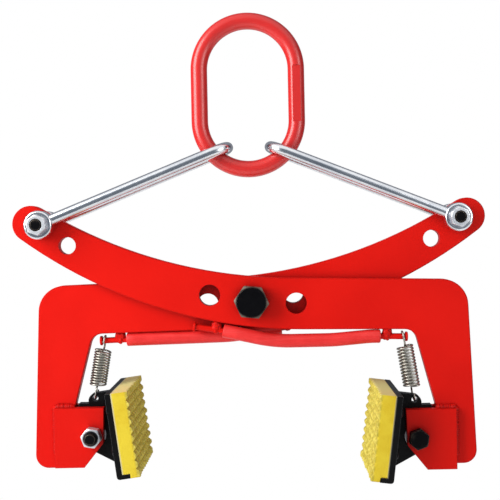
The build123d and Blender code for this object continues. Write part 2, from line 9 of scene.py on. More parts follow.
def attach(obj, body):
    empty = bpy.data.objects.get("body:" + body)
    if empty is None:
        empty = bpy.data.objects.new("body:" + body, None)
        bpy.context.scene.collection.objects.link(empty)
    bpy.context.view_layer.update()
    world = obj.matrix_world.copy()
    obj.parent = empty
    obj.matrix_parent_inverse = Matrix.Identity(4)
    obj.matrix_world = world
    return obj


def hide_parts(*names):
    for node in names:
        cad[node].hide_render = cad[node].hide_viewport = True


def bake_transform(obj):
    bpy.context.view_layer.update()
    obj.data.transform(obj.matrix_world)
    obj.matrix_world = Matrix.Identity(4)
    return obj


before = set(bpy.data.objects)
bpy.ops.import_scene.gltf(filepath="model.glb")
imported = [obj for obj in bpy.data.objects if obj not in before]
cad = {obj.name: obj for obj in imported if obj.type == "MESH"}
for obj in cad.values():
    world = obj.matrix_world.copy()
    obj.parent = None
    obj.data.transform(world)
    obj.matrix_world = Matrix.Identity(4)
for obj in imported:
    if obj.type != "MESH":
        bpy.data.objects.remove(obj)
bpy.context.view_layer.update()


# Master link: one round steel bar bent to an oblong ring, which a crane hook lifts and both links
# hang on. It is powder coated a glossy red, with a faint waviness in the coat and a shallow flat on
# one leg.
class Tone:
    """One socket of a finish: sums and products add Math nodes, and node() adds any other."""

    def __init__(self, tree, socket=None):
        self.tree = tree
        self.socket = socket

    def node(self, kind, settings, sockets, out=0):
        made = self.tree.nodes.new("ShaderNode" + kind)
        for name, value in settings.items():
            setattr(made, name, value)
        for name, value in sockets.items():
            if isinstance(value, Tone):
                self.tree.links.new(value.socket, made.inputs[name])
            else:
                made.inputs[name].default_value = value
        return Tone(self.tree, made.outputs[out]) if made.outputs else None

    def maths(self, operation, first, second=0.0):
        return self.node("Math", {"operation": operation}, {0: first, 1: second})

    def __add__(self, other):
        return self.maths("ADD", self, other)

    def __sub__(self, other):
        return self.maths("SUBTRACT", self, other)

    def __rsub__(self, other):
        return self.maths("SUBTRACT", other, self)

    def __mul__(self, other):
        return self.maths("MULTIPLY", self, other)

    __radd__ = __add__
    __rmul__ = __mul__

    def between(self, low, high, start=0.0, end=1.0):
        settings = {"interpolation_type": "SMOOTHSTEP"}
        limits = {"From Min": low, "From Max": high, "To Min": start, "To Max": end}
        return self.node("MapRange", settings, {"Value": self, **limits})

    def dot(self, other):
        return self.node("VectorMath", {"operation": "DOT_PRODUCT"}, {0: self, 1: other}, "Value")

    def part(self, axis):
        return self.node("SeparateXYZ", {}, {"Vector": self}, axis)

    def stretched(self, scale, turn=0.0):
        turned = {"Vector": self, "Scale": scale, "Rotation": (0.0, turn, 0.0)}
        return self.node("Mapping", {}, turned)

    def noise(self, scale, detail=3.0, rough=0.5):
        sockets = {"Vector": self, "Scale": scale, "Detail": detail, "Roughness": rough}
        return self.node("TexNoise", {}, sockets)


def finish(name):
    material = bpy.data.materials.new(name)
    material.use_nodes = True
    material.node_tree.nodes.clear()
    tree = Tone(material.node_tree)
    return material, tree.node("TexCoord", {}, {}, "Object")


def mixed(mask, first, second):
    return mask.node("Mix", {"data_type": "RGBA"}, {0: mask, 6: first, 7: second}, 2)


def softened(place, radius):
    """The surface's normal with its edges rounded off."""
    return place.node("Bevel", {"samples": 4}, {"Radius": radius})


def edge_mask(rounded):
    """Nought on flat faces, and more towards the edges that softened() rounds off."""
    return 1.0 - rounded.dot(rounded.node("NewGeometry", {}, {}, "True Normal"))


def surface(place, height, depth, normal, **sockets):
    relief = {"Height": height, "Distance": depth, "Strength": 1.0}
    if normal is not None:
        relief["Normal"] = normal
    sockets["Normal"] = place.node("Bump", {}, relief)
    named = {name.replace("_", " "): value for name, value in sockets.items()}
    shell = place.node("BsdfPrincipled", {}, named)
    place.node("OutputMaterial", {}, {"Surface": shell})


RUBBED_RED = (0.88, 0.10, 0.075, 1.0)
HAIR_LAY = (14.0, 30.0, 520.0)
HAIR_SLANT = 0.16
PAINTED_SHADE_REACH = 0.030


def gloss_paint(name, colour, deep, edge_and_shade_tint, rough, shine, peel_depth, edge_round):
    """Sprayed enamel: uneven thickness, orange peel, hair scratches, edges darkened partly as real
    paint and partly as painted shade, and painted shade in crevices.
    """
    material, place = finish(name)
    rounded = softened(place, edge_round)
    thickness = place.noise(11.0, 2.0).between(0.3, 0.7)
    mottle = place.noise(260.0, 4.0, 0.6)
    hairs = place.stretched(HAIR_LAY, HAIR_SLANT).noise(3.0, 5.0, 0.62).between(0.66, 0.78)
    rubbed = hairs * place.noise(24.0, 2.0).between(0.5, 0.68)
    # Darker edges, partly real paint and partly painted shade; the same edge colour is the painted
    # shade in crevices.
    dark_edge_and_shade = (edge_mask(rounded) * 9.0 + mottle * 0.3).between(0.30, 0.85)
    # Painted shade: ambient occlusion darkens crevices, hole walls and gaps between parts towards
    # the edge colour.
    reach = {"Distance": PAINTED_SHADE_REACH}
    open_sky = place.node("AmbientOcclusion", {"samples": 8}, reach, "AO")
    painted_crevice_shade = open_sky.between(0.20, 0.85, 0.85, 0.0)
    tint = mixed(thickness, deep, colour)
    tint = mixed(rubbed * 0.30, tint, RUBBED_RED)
    tint = mixed(dark_edge_and_shade * 0.60, tint, edge_and_shade_tint)
    tint = mixed(painted_crevice_shade, tint, edge_and_shade_tint)
    peel = place.noise(420.0, 2.0) * 0.8 + mottle * 0.2
    surface(
        place,
        height=peel - rubbed * 0.5,
        depth=peel_depth,
        normal=rounded,
        Base_Color=tint,
        Roughness=(mottle * 0.12 + rubbed * 0.20 + rough),
        Specular_IOR_Level=shine,
    )
    return material


# The ring's coat also takes gloss_paint's darker edges and painted shade in crevices.
RING_RED = (0.78, 0.018, 0.015, 1.0)
RING_RED_DEEP = (0.70, 0.014, 0.012, 1.0)
RING_RED_EDGE_AND_SHADE = (0.36, 0.008, 0.008, 1.0)
ring_reds = (RING_RED, RING_RED_DEEP, RING_RED_EDGE_AND_SHADE)
ring_coat = gloss_paint(
    "ring_coat", *ring_reds, rough=0.24, shine=0.8, peel_depth=0.00001, edge_round=0.00015
)


def dress(material, *names):
    for name in names:
        cad[name].material_slots[0].material = material


dress(ring_coat, "master_link")


# Hairpin links: round bar folded into two legs, with a forged eye on each end, hooked through the
# ring. Bright zinc plating over drawn bar: smooth, cloudy, with a fine grain and a few dull spots.
ZINC_BRIGHT = (0.88, 0.90, 0.93, 1.0)
ZINC_DULL = (0.70, 0.73, 0.78, 1.0)
ZINC_SPOT = (0.34, 0.36, 0.40, 1.0)
ZINC_GRAIN = 0.00007


def plated(name, rough, metal, edge_round):
    material, place = finish(name)
    cloud = place.noise(38.0, 4.0, 0.6)
    grain = place.noise(900.0, 3.0, 0.6)
    spots = place.noise(170.0, 5.0, 0.7).between(0.60, 0.74)
    tint = mixed(cloud.between(0.3, 0.7), ZINC_DULL, ZINC_BRIGHT)
    tint = mixed(spots * 0.3, tint, ZINC_SPOT)
    surface(
        place,
        height=grain * 0.6 + cloud * 0.4,
        depth=ZINC_GRAIN,
        normal=softened(place, edge_round),
        Base_Color=tint,
        Metallic=metal,
        Roughness=(grain * 0.08 + spots * 0.12 + cloud * 0.06 + rough),
    )
    return material


zinc = plated("zinc_plate", rough=0.14, metal=1.0, edge_round=0.00015)
dress(zinc, "left_link", "right_link")


# Link bolts: hex bolts from behind through eyes, spacers and arm, with thin zinc nuts in front.
# The nuts and spacers are dull zinc, the bolts blackened steel whose sharp edges are rubbed bare.
OXIDE_BLACK = (0.003, 0.003, 0.004, 1.0)
OXIDE_CLOUD = (0.005, 0.005, 0.006, 1.0)
BARE_STEEL = (0.38, 0.31, 0.25, 1.0)
OXIDE_GRAIN = 0.00020
BOLT_EDGE = 0.0009
RIM_WANDER = 0.0020


def blackened(name, wear, rim=None):
    """Oxide black, bare where edges are rubbed, and past a rim about a centre if one is given."""
    material, place = finish(name)
    rounded = softened(place, BOLT_EDGE)
    cloud = place.noise(120.0, 4.0, 0.6)
    grain = place.noise(1300.0, 2.0)
    worn = (edge_mask(rounded) * 7.0 + cloud * 0.9).between(0.75, 1.35) * wear
    if rim is not None:
        centre, start, end = rim
        ends = {0: place.stretched((1.0, 0.0, 1.0)), 1: centre}
        out = place.node("VectorMath", {"operation": "DISTANCE"}, ends, "Value")
        rim_worn = (out + cloud * RIM_WANDER).between(start, end) * wear
        worn = worn.maths("MAXIMUM", worn, rim_worn)
    rub = place.noise(70.0, 5.0, 0.65).between(0.58, 0.74) * (wear * 0.15)
    tint = mixed(worn + rub, mixed(cloud, OXIDE_BLACK, OXIDE_CLOUD), BARE_STEEL)
    surface(
        place,
        height=grain * 0.5 + cloud * 0.5,
        depth=OXIDE_GRAIN,
        normal=rounded,
        Base_Color=tint,
        Metallic=(worn * 0.6 + 0.15),
        Roughness=(cloud * 0.15 + 0.26 + grain * 0.08),
        Specular_IOR_Level=0.08,
    )
    return material


black_steel = blackened("black_oxide", wear=0.75)
zinc_dip = plated("zinc_dip", rough=0.30, metal=0.6, edge_round=0.0008)
dress(zinc_dip, "left_link_nut", "right_link_nut", "left_link_spacers", "right_link_spacers")
dress(black_steel, "left_link_bolt", "right_link_bolt")


# Arms: two alike plates flame cut from 10 mm steel, crossed and bolted at the pivot.
# Sprayed bright red enamel, smooth on the faces and darker along the cut edges, partly as real
# paint and partly as painted shade, with painted shade in crevices and holes.
ARM_RED = (0.83, 0.009, 0.004, 1.0)
ARM_RED_DEEP = (0.75, 0.007, 0.003, 1.0)
ARM_RED_EDGE_AND_SHADE = (0.30, 0.006, 0.006, 1.0)
arm_reds = (ARM_RED, ARM_RED_DEEP, ARM_RED_EDGE_AND_SHADE)
arm_enamel = gloss_paint(
    "arm_enamel", *arm_reds, rough=0.30, shine=0.10, peel_depth=0.00014, edge_round=0.0010
)
dress(arm_enamel, "front_arm", "rear_arm")


# Pivot: the bolt that both arms turn on, with washers outside and a spacer between the plates.
# Bolt, nut and washers are blackened; handling has rubbed the head's corners bright.
PIVOT = Vector((0.0, 0.0, -0.270977))
HEAD_CORNERS = (0.0150, 0.0172)
pivot_steel = blackened("pivot_oxide", wear=0.45, rim=(PIVOT, *HEAD_CORNERS))
dress(pivot_steel, "pivot_bolt", "pivot_nut")
dress(black_steel, "pivot_washers")
dress(zinc_dip, "pivot_spacer")


# Handles: a bent round rod under each arm, with a red hose pushed over it as a grip.
# The rod is painted with the arm; the hose is soft, a little lighter, with blunt cut ends.
dress(arm_enamel, "front_handle_rod", "rear_handle_rod")
HALF_TURN = Matrix.Rotation(math.pi, 4, "Z")


def rim_of(made):
    verts = [v for v in made if isinstance(v, bmesh.types.BMVert)]
    edges = [e for e in made if isinstance(e, bmesh.types.BMEdge)]
    return verts, [e for e in edges if all(v in verts for v in e.verts)]


def points_of(edges):
    return list(dict.fromkeys(v for e in edges for v in e.verts))


def drawn(mesh, rim, travel):
    verts, edges = rim_of(bmesh.ops.extrude_edge_only(mesh, edges=rim)["geom"])
    bmesh.ops.translate(mesh, verts=verts, vec=travel)
    return edges


def swollen(mesh, rim, place, radius):
    """The next ring of a round piece: the rim drawn on to a new place and a new radius."""
    verts, edges = rim_of(bmesh.ops.extrude_edge_only(mesh, edges=rim)["geom"])
    middle = sum((v.co for v in verts), Vector()) / len(verts)
    grow = radius / (verts[0].co - middle).length
    bmesh.ops.scale(mesh, verts=verts, vec=(grow, grow, grow), space=Matrix.Translation(-middle))
    bmesh.ops.translate(mesh, verts=verts, vec=place - middle)
    return edges


def bent(mesh, rim, centre, axis, angle, steps, climb=(0.0, 0.0, 0.0)):
    geom = rim + points_of(rim)
    sweep = {"cent": centre, "axis": axis, "dvec": climb, "angle": angle, "steps": steps}
    made = bmesh.ops.spin(mesh, geom=geom, use_merge=False, **sweep)
    return rim_of(made["geom_last"])[1]


def across(place, along):
    return Matrix.Translation(place) @ along.to_track_quat("Z", "Y").to_matrix().to_4x4()


SAME_POINT = 0.00002
ROUND_SHADING = math.radians(40)


def made_piece(name, mesh, material, smooth=ROUND_SHADING):
    bmesh.ops.remove_doubles(mesh, verts=mesh.verts, dist=SAME_POINT)
    bmesh.ops.recalc_face_normals(mesh, faces=mesh.faces)
    data = bpy.data.meshes.new(name)
    mesh.to_mesh(data)
    mesh.free()
    data.shade_smooth()
    data.set_sharp_from_angle(angle=smooth)
    data.materials.append(material)
    piece = bpy.data.objects.new(name, data)
    bpy.context.scene.collection.objects.link(piece)
    return piece


HOSE_RED = (0.92, 0.030, 0.028, 1.0)
HOSE_RED_DEEP = (0.82, 0.020, 0.018, 1.0)
HOSE_BLOOM = (0.96, 0.20, 0.18, 1.0)
hose_material, hose = finish("handle_hose")
hose_cloud = hose.noise(60.0, 4.0, 0.6)
hose_grain = hose.noise(1500.0, 2.0)
hose_streak = hose.stretched((6.0, 60.0, 160.0)).noise(2.0, 4.0).between(0.5, 0.8)
hose_tint = mixed(hose_cloud.between(0.3, 0.7), HOSE_RED_DEEP, HOSE_RED)
surface(
    hose,
    height=hose_cloud * 0.7 + hose_grain * 0.3,
    depth=0.0003,
    normal=None,
    Base_Color=mixed(hose_streak * 0.14, hose_tint, HOSE_BLOOM),
    Roughness=(hose_cloud * 0.16 + hose_grain * 0.1 + 0.30),
    Specular_IOR_Level=0.4,
)

HOSE = 0.00675
HOSE_BORE = 0.0031
HOSE_LIP = 0.0012
LIP_ROUND = HOSE_LIP * 0.3
HOSE_RECESS = 0.006
HOSE_SIDES = 28
HOSE_Y = -0.007
HOSE_BENDS = (0.150, 0.200, 0.120)
BEND_STEPS = 6
outer_end = ((0.118, -0.0372), (0.1267, -0.03744))
front_route = ((-0.0290, -0.02875), (0.022, -0.0403), (0.080, -0.0402), *outer_end)
rear_route = ((-0.0290, -0.02852), (0.022, -0.03545), (0.080, -0.0366), *outer_end)


def hose_sleeve(name, node, body, route, turn):
    mesh = bmesh.new()
    points = [PIVOT + Vector((x, HOSE_Y, z)) for x, z in route]
    first = (points[1] - points[0]).normalized()
    last = (points[-1] - points[-2]).normalized()
    inside = across(points[0] + first * HOSE_RECESS, first)
    bmesh.ops.create_circle(mesh, segments=HOSE_SIDES, radius=HOSE_BORE, matrix=inside)
    recess = mesh.edges[:]
    rim = swollen(mesh, recess, points[0], HOSE_BORE)
    rim = swollen(mesh, rim, points[0], HOSE - HOSE_LIP)
    rim = swollen(mesh, rim, points[0] + first * LIP_ROUND, HOSE - LIP_ROUND)
    here = points[0] + first * HOSE_LIP
    rim = swollen(mesh, rim, here, HOSE)
    for before, corner, after, radius in zip(points, points[1:], points[2:], HOSE_BENDS):
        arriving = (corner - before).normalized()
        leaving = (after - corner).normalized()
        angle = arriving.angle(leaving)
        setback = radius * math.tan(angle / 2)
        axis = arriving.cross(leaving).normalized()
        start = corner - arriving * setback
        rim = drawn(mesh, rim, start - here)
        rim = bent(mesh, rim, start + axis.cross(arriving) * radius, axis, angle, BEND_STEPS)
        here = corner + leaving * setback
    rim = drawn(mesh, rim, points[-1] - last * HOSE_LIP - here)
    rim = swollen(mesh, rim, points[-1] - last * LIP_ROUND, HOSE - LIP_ROUND)
    rim = swollen(mesh, rim, points[-1], HOSE - HOSE_LIP)
    rim = swollen(mesh, rim, points[-1], HOSE_BORE)
    rim = swollen(mesh, rim, points[-1] - last * HOSE_RECESS, HOSE_BORE)
    for loop in (recess, rim):
        bmesh.ops.edgeloop_fill(mesh, edges=loop)
    bmesh.ops.transform(mesh, matrix=turn, verts=mesh.verts)
    sleeve = made_piece(name, mesh, hose_material)
    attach(sleeve, body)
    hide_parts(node)


FRONT = Matrix.Identity(4)
hose_sleeve("front_hose", "front_handle_sleeve", "front_arm_body", front_route, FRONT)
hose_sleeve("rear_hose", "rear_handle_sleeve", "rear_arm_body", rear_route, HALF_TURN)

WELD_LUMP = Vector((0.0052, 0.0043, 0.0070))
WELD_SPOTS = ((-0.0355, -0.0250), (0.1332, -0.0346))
WELD_RIPPLE = 0.0011
RIPPLE_GRAIN = (560.0, 300.0, 420.0)
SPATTER = WELD_RIPPLE * 0.35
SPATTER_GRAIN = 1100.0
WELD_SHADING = math.radians(60)


def handle_welds(name, node, body, turn, seed):
    mesh = bmesh.new()
    for number, (x, z) in enumerate(WELD_SPOTS):
        spot = PIVOT + Vector((x, HOSE_Y, z))
        lump = bmesh.ops.create_icosphere(mesh, subdivisions=4, radius=1.0)["verts"]
        bmesh.ops.scale(mesh, verts=lump, vec=WELD_LUMP)
        for v in lump:
            drop = Vector((seed, number * 9.0, 0.0))
            beads = noise.noise(Vector([a * b for a, b in zip(v.co, RIPPLE_GRAIN)]) + drop)
            spatter = noise.noise(v.co * SPATTER_GRAIN + drop)
            v.co += v.co.normalized() * (beads * WELD_RIPPLE + spatter * SPATTER)
        bmesh.ops.translate(mesh, verts=lump, vec=spot)
    bmesh.ops.transform(mesh, matrix=turn, verts=mesh.verts)
    lumps = made_piece(name, mesh, arm_enamel, WELD_SHADING)
    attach(lumps, body)
    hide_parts(node)


handle_welds("front_weld_lumps", "front_handle_welds", "front_arm_body", FRONT, 3.0)
handle_welds("rear_weld_lumps", "rear_handle_welds", "rear_arm_body", HALF_TURN, 8.0)


# Jaw brackets: two plates welded to each foot of the arms, which carry the jaw bolt between them.
# Painted with the arms; a rippled weld bead runs along the top and the outer edge of each plate.
dress(arm_enamel, "right_bracket_outer", "right_bracket_inner")
dress(arm_enamel, "left_bracket_outer", "left_bracket_inner")
JAW_PIN = Vector((0.1605, -0.006, -0.407477))
LEFT_LIFT = 0.0053
LEFT_JAW = Matrix.Translation((0.0, 0.0, LEFT_LIFT)) @ HALF_TURN
PLATE = 0.010
BEAD = 0.0037
BEAD_SIDES = 14
BEAD_TIP = BEAD * 0.4
BEAD_RUNOUT = BEAD * 0.6
BEAD_PITCH = 0.0021
BEAD_SWAY = 0.00030
BEAD_SPREAD = (0.93, 1.10)
POOL_SHAPE = ((0.10, 0.86), (0.45, 1.0), (0.80, 0.93))
BEAD_CORNER = (0.0380, 0.0280)
BEAD_RUNS = ((0.0208, 0.0280), (0.0377, -0.0180))


def weld_bead(mesh, start, end, uneven):
    """A run of overlapping weld pools: each swells to its crest and sinks to the next."""
    along = (end - start).normalized()
    pools = round((end - start).length / BEAD_PITCH)
    tip = across(start - along * BEAD_RUNOUT, along)
    bmesh.ops.create_circle(mesh, segments=BEAD_SIDES, radius=BEAD_TIP, matrix=tip)
    rim = [e for e in mesh.edges if e.is_wire]
    ends = [rim]
    for pool in range(pools):
        size = BEAD * uneven.uniform(*BEAD_SPREAD)
        sway = Vector([uneven.uniform(-1, 1) for _ in range(3)]) * BEAD_SWAY
        for share, swell in POOL_SHAPE:
            crest = start + along * BEAD_PITCH * (pool + share) + sway
            rim = swollen(mesh, rim, crest, size * swell)
    ends.append(swollen(mesh, rim, end + along * BEAD_RUNOUT, BEAD_TIP))
    for loop in ends:
        bmesh.ops.edgeloop_fill(mesh, edges=loop)


def bracket_beads(name, node, body, turn, seed):
    uneven = random.Random(seed)
    mesh = bmesh.new()
    for way in (-1, 1):
        face = JAW_PIN + Vector((0.0, way * PLATE / 2, 0.0))
        corner = face + Vector((BEAD_CORNER[0], 0.0, BEAD_CORNER[1]))
        for x, z in BEAD_RUNS:
            weld_bead(mesh, corner, face + Vector((x, 0.0, z)), uneven)
    bmesh.ops.transform(mesh, matrix=turn, verts=mesh.verts)
    beads = made_piece(name, mesh, arm_enamel, WELD_SHADING)
    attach(beads, body)
    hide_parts(node)


bracket_beads("right_bead", "right_bracket_welds", "front_arm_body", FRONT, 5)
bracket_beads("left_bead", "left_bracket_welds", "rear_arm_body", LEFT_JAW, 17)


# Jaw bolts: M12 bolts through brackets and jaw eye, with the head in front on the right jaw and
# behind on the left one. Blackened, with thin zinc washers and zinc lock nuts, whose dark nylon
# collars stand a little proud.
dress(black_steel, "left_jaw_bolt", "right_jaw_bolt")
dress(zinc_dip, "left_jaw_nut", "right_jaw_nut", "left_jaw_washers", "right_jaw_washers")
NUT_FACE = 0.023
COLLAR_INSIDE = ((0.00615, -0.0004), (0.00615, 0.0011), (0.0066, 0.0014))
COLLAR_PROFILE = (*COLLAR_INSIDE, (0.0072, 0.0012), (0.0075, 0.0006), (0.0075, -0.0004))
COLLAR_STEPS = 40
NYLON_BLACK = (0.004, 0.004, 0.006, 1.0)
NYLON_CLOUD = (0.012, 0.013, 0.018, 1.0)

nylon_material, nylon = finish("lock_nylon")
nylon_cloud = nylon.noise(220.0, 4.0, 0.6)
nylon_tint = mixed(nylon_cloud, NYLON_BLACK, NYLON_CLOUD)
surface(
    nylon,
    height=nylon_cloud,
    depth=0.0002,
    normal=None,
    Base_Color=nylon_tint,
    Roughness=(nylon_cloud * 0.2 + 0.30),
    Specular_IOR_Level=0.4,
)


def lock_collar(name, body, turn):
    mesh = bmesh.new()
    seat = JAW_PIN + Vector((0.0, NUT_FACE, 0.0))
    corners = [mesh.verts.new(seat + Vector((r, y, 0.0))) for r, y in COLLAR_PROFILE]
    edges = [mesh.edges.new(pair) for pair in zip(corners, corners[1:] + corners[:1])]
    turned = {"cent": seat, "axis": (0.0, 1.0, 0.0), "angle": 2 * math.pi, "steps": COLLAR_STEPS}
    bmesh.ops.spin(mesh, geom=corners + edges, use_merge=True, **turned)
    bmesh.ops.transform(mesh, matrix=turn, verts=mesh.verts)
    collar = made_piece(name, mesh, nylon_material)
    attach(collar, body)


lock_collar("right_lock_collar", "front_arm_body", FRONT)
lock_collar("left_lock_collar", "rear_arm_body", LEFT_JAW)


# Jaws: an upright gusset that swings on the jaw bolt, welded to a backplate with a lip along its
# foot. Satin black paint over hot rolled steel, scraped to grey along the edges.
JAW_BLACK = (0.0014, 0.0014, 0.0017, 1.0)
JAW_PATCH = (0.0032, 0.0032, 0.0036, 1.0)
SCRAPED_GREY = (0.22, 0.23, 0.25, 1.0)

jaw_black, jaw = finish("jaw_black")
jaw_round = softened(jaw, 0.0008)
jaw_scale = jaw.noise(240.0, 5.0, 0.62)
jaw_patch = jaw.noise(30.0, 3.0)
jaw_worn = (edge_mask(jaw_round) * 6.0 + jaw_scale * 0.9).between(0.85, 1.5)
jaw_tint = mixed(jaw_patch, JAW_BLACK, JAW_PATCH)
surface(
    jaw,
    height=jaw_scale,
    depth=0.0004,
    normal=jaw_round,
    Base_Color=mixed(jaw_worn * 0.45, jaw_tint, SCRAPED_GREY),
    Roughness=(jaw_scale * 0.2 + jaw_patch * 0.1 + 0.26),
    Specular_IOR_Level=0.16,
)
dress(jaw_black, "left_jaw_gusset", "right_jaw_gusset")
dress(jaw_black, "left_jaw_backplate", "right_jaw_backplate")
dress(black_steel, "left_block_screws", "right_block_screws")


# Grip blocks: cast polyurethane pads with rows of blunt teeth, the outermost flush with the sides.
# They sit on the lip and are screwed from behind. Yellow, with a painted highlight on top and a
# painted highlight along the back edge, painted shade in blotches on the toothed face, and
# darker patches between the teeth.
TOOTH_ROWS = 10
TOOTH_COLUMNS = 11
TOOTH_PITCH = 0.00825
TOOTH_TIP = 0.0024
TOOTH_HEIGHT = 0.003
TOOTH_WOBBLE = 0.00045
BLOCK_BODY = 0.0140
BLOCK_FACE = -0.0442
BLOCK_MIDDLE = 0.00295
BACK_HIGHLIGHT_START = -0.0307
LIP_REACH = 0.0076
LIP_HEIGHT = 0.0044
CAST_EDGE = 0.0011
CAST_ANGLE = math.radians(28)
TOOTH_SHADING = math.radians(25)
JAW_TILT = math.radians(7.5)
jaw_outward = Vector((math.cos(JAW_TILT), 0.0, -math.sin(JAW_TILT)))
jaw_upward = Vector((math.sin(JAW_TILT), 0.0, math.cos(JAW_TILT)))
jaw_lay = Matrix((jaw_outward, jaw_upward, (0.0, -1.0, 0.0))).transposed().to_4x4()
jaw_frame = Matrix.Translation(JAW_PIN) @ jaw_lay

PAD_OCHRE = (0.74, 0.52, 0.022, 1.0)
PAD_YELLOW = (0.82, 0.63, 0.040, 1.0)
TOOTH_SHADE_OLIVE = (0.50, 0.41, 0.062, 1.0)
TOOTH_YELLOW = (0.80, 0.68, 0.140, 1.0)
PAD_VALLEY_DARK = (0.30, 0.25, 0.045, 1.0)
PAD_TOP_HIGHLIGHT = (0.92, 0.82, 0.34, 1.0)
PAD_BACK_HIGHLIGHT = (0.60, 0.57, 0.42, 1.0)
BACK_HIGHLIGHT_BLUR = 0.0012

pad_material, pad = finish("grip_urethane")
pad_side = pad.part("X")
pad_rise = pad.part("Z") - JAW_PIN.z - pad_side.maths("LESS_THAN", pad_side) * LEFT_LIFT
pad_reach = pad_side.maths("ABSOLUTE", pad_side) - JAW_PIN.x
pad_depth = pad_reach * math.cos(JAW_TILT) - pad_rise * math.sin(JAW_TILT)
# Painted highlight: a pale band round the back of the block stands in for light caught at the
# backplate's edge.
pad_back_highlight = pad_depth.between(BACK_HIGHLIGHT_START - BACK_HIGHLIGHT_BLUR, BACK_HIGHLIGHT_START)
pad_teeth = pad_depth.between(BLOCK_FACE - 0.0010, BLOCK_FACE + 0.0003, 1.0, 0.0)
pad_sunk = pad_depth.between(BLOCK_FACE - 0.0022, BLOCK_FACE + 0.0002)
pad_valley = pad_sunk * pad_depth.between(BLOCK_FACE + 0.0002, BLOCK_FACE + 0.0012, 1.0, 0.0)
pad_cloud = pad.noise(45.0, 4.0, 0.6)
pad_grain = pad.noise(700.0, 4.0, 0.65)
# Darker in patches in the valleys between the teeth.
pad_valley_dark = pad_valley * pad_grain.between(0.25, 0.7)
# Painted highlight: faces that look up are paler, as if lit from above.
pad_top_highlight = pad.node("NewGeometry", {}, {}, "True Normal").part("Z").between(0.86, 0.96)
pad_blotch = pad.noise(210.0, 3.0, 0.6).between(0.36, 0.64)
pad_tint = mixed(pad_cloud.between(0.3, 0.7), PAD_OCHRE, PAD_YELLOW)
# Painted shade: the toothed face is blotched with the olive of its shaded side.
tooth_tint_and_shade = mixed(pad_blotch, TOOTH_SHADE_OLIVE, TOOTH_YELLOW)
pad_tint = mixed(pad_teeth * 0.85, pad_tint, tooth_tint_and_shade)
pad_tint = mixed(pad_valley_dark * 0.35, pad_tint, PAD_VALLEY_DARK)
pad_tint = mixed(pad_top_highlight * 0.9, pad_tint, PAD_TOP_HIGHLIGHT)
pad_tint = mixed(pad_back_highlight * 0.7, pad_tint, PAD_BACK_HIGHLIGHT)
surface(
    pad,
    height=pad_grain * 0.6 + pad_cloud * 0.4,
    depth=0.0005,
    normal=softened(pad, 0.0009),
    Base_Color=pad_tint,
    Roughness=(pad_grain * 0.15 + pad_valley_dark * 0.2 + 0.45),
    Specular_IOR_Level=0.15,
)


def grip_block(name, node, body, turn, seed):
    uneven = random.Random(seed)
    mesh = bmesh.new()
    bmesh.ops.create_grid(mesh, x_segments=TOOTH_COLUMNS, y_segments=TOOTH_ROWS, size=0.5)
    size = (TOOTH_COLUMNS * TOOTH_PITCH, TOOTH_ROWS * TOOTH_PITCH, 1.0)
    bmesh.ops.scale(mesh, vec=size, verts=mesh.verts)
    cells = mesh.faces[:]
    rim = [e for e in mesh.edges if e.is_boundary]
    rim = drawn(mesh, rim, (0.0, 0.0, LIP_REACH - BLOCK_BODY))
    rim = drawn(mesh, rim, (0.0, 0.0, 0.0))
    foot = -size[1] / 2
    lifted = [v for v in points_of(rim) if v.co.y < foot + SAME_POINT]
    bmesh.ops.translate(mesh, verts=lifted, vec=(0.0, LIP_HEIGHT, 0.0))
    rim = drawn(mesh, rim, (0.0, 0.0, -LIP_REACH))
    bmesh.ops.edgeloop_fill(mesh, edges=rim)
    slope = (TOOTH_PITCH - TOOTH_TIP) / 2
    raised = {"thickness": slope, "depth": TOOTH_HEIGHT, "use_even_offset": True}
    bmesh.ops.inset_individual(mesh, faces=cells, **raised)
    for cell in cells:
        sink = [uneven.uniform(*bounds) for bounds in ((-1, 1), (-1, 1), (-2, 0))]
        bmesh.ops.translate(mesh, verts=cell.verts, vec=Vector(sink) * TOOTH_WOBBLE)
        for v in cell.verts:
            for axis in (0, 1):
                side = size[axis] / 2
                if abs(v.co[axis]) > side - slope - TOOTH_WOBBLE:
                    v.co[axis] = math.copysign(side, v.co[axis])
    facing = Matrix(((0.0, 0.0, -1.0), (0.0, 1.0, 0.0), (1.0, 0.0, 0.0))).to_4x4()
    seat = jaw_frame @ Matrix.Translation((BLOCK_FACE, BLOCK_MIDDLE, 0.0)) @ facing
    bmesh.ops.transform(mesh, matrix=turn @ seat, verts=mesh.verts)
    block = made_piece(name, mesh, pad_material, TOOTH_SHADING)
    rounding = block.modifiers.new("cast_edges", "BEVEL")
    rounding.width = CAST_EDGE
    rounding.segments = 2
    rounding.limit_method = "ANGLE"
    rounding.angle_limit = CAST_ANGLE
    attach(block, body)
    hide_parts(node)


grip_block("right_pad", "right_grip_block", "right_jaw", FRONT, 11)
grip_block("left_pad", "left_grip_block", "left_jaw", LEFT_JAW, 23)


# Springs: extension springs hooked over the handle rods and into the jaw lugs, which the jaws swing
# against. Drawn spring wire, bare and oiled. The left spring is stretched less.
SPRING_WIRE = 0.00095
SPRING_COIL = 0.0076
SPRING_TURNS = 13
WIRE_SIDES = 10
TURN_STEPS = 32
HOOK_STEPS = 12
CORNER_STEPS = 8
SPRING_SHANK = 0.0101
SPRING_TAIL = 0.0131
ROD_HOOK = 0.00485
LUG_HOOK = 0.00585
LUG_SIDE = 0.0045
HOOK_SAG = (LUG_HOOK + math.sqrt(LUG_HOOK**2 - LUG_SIDE**2)) / 2
rod_hook_at = Vector((0.1492, -0.0065, -0.309051))
lug_hook_at = Vector((0.159, -0.0065, -0.371372))
WIRE_DARK = (0.30, 0.29, 0.25, 1.0)
WIRE_PALE = (0.50, 0.49, 0.44, 1.0)
WIRE_OIL = (0.26, 0.23, 0.16, 1.0)

